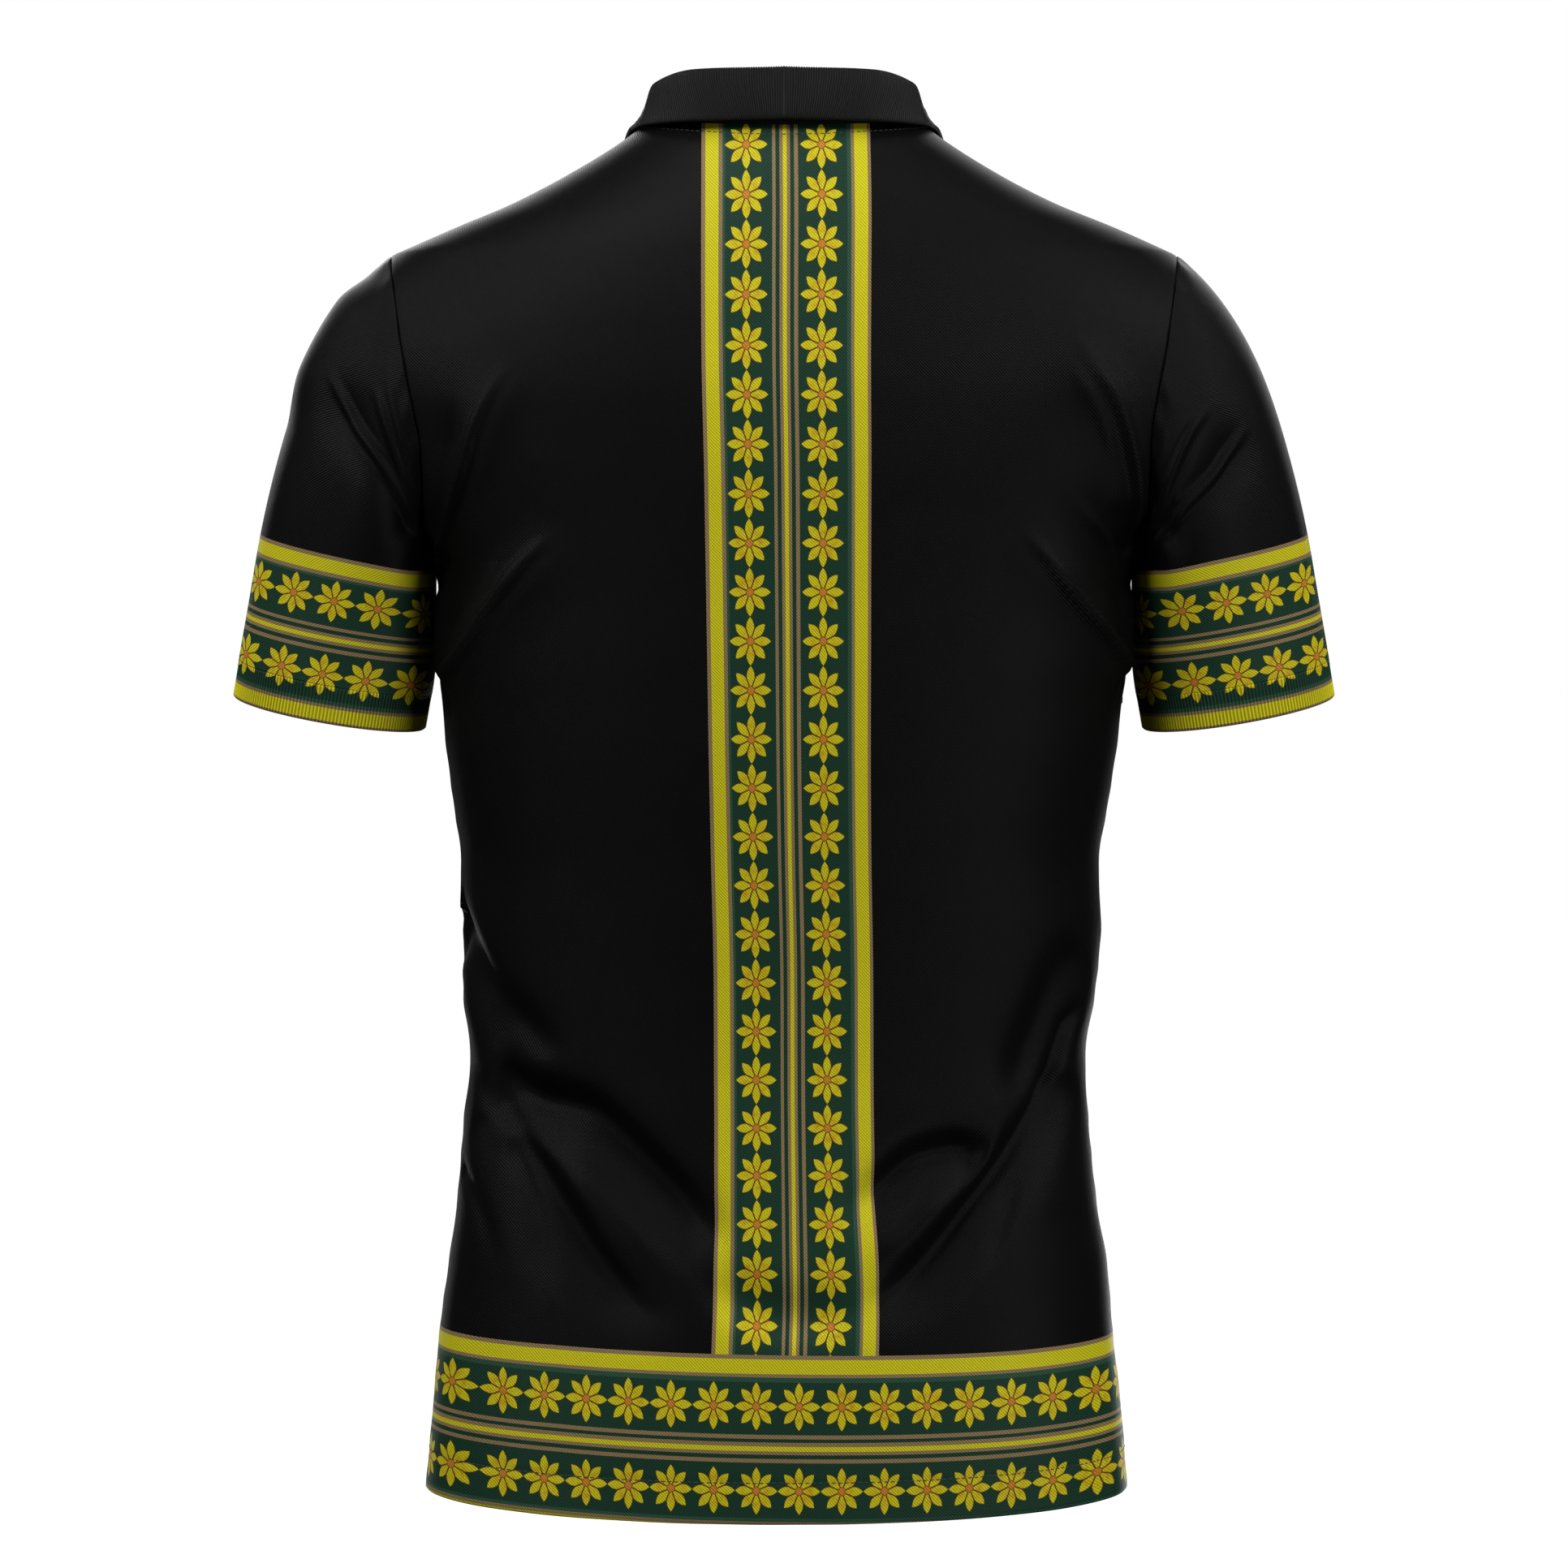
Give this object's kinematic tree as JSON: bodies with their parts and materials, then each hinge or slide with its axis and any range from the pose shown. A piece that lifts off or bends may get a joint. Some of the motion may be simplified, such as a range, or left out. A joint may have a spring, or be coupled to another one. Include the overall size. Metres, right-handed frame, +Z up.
{
  "type": "polo shirt",
  "caption": "Short-sleeved knit polo shirt, filled out as worn, with a turned-down rib collar, a buttoned placket, rib cuffs and printed flower bands.",
  "frame": {"origin": "midway between the two high shoulder points, where the wearer's neck and shoulders hold the shirt", "axes": "+Z up, +Y towards the back, +X towards the wearer's left; the front faces -Y"},
  "size_m": [0.5784, 0.2316, 0.7399],
  "materials": {
    "knit": "fine black knit with green and yellow printed flower bands",
    "rib": "black rib knit, the flower band printed over the cuffs",
    "button": "black, semi-gloss"
  },
  "bodies": {
    "root": {"back": "knit", "front": "knit", "sleeve_left": "knit", "sleeve_right": "knit", "placket_over": "knit", "placket_under": "knit", "cuff_left": "rib", "cuff_right": "rib", "collar": "rib", "button_1": "button", "button_2": "button", "button_3": "button"}
  },
  "joints": []
}
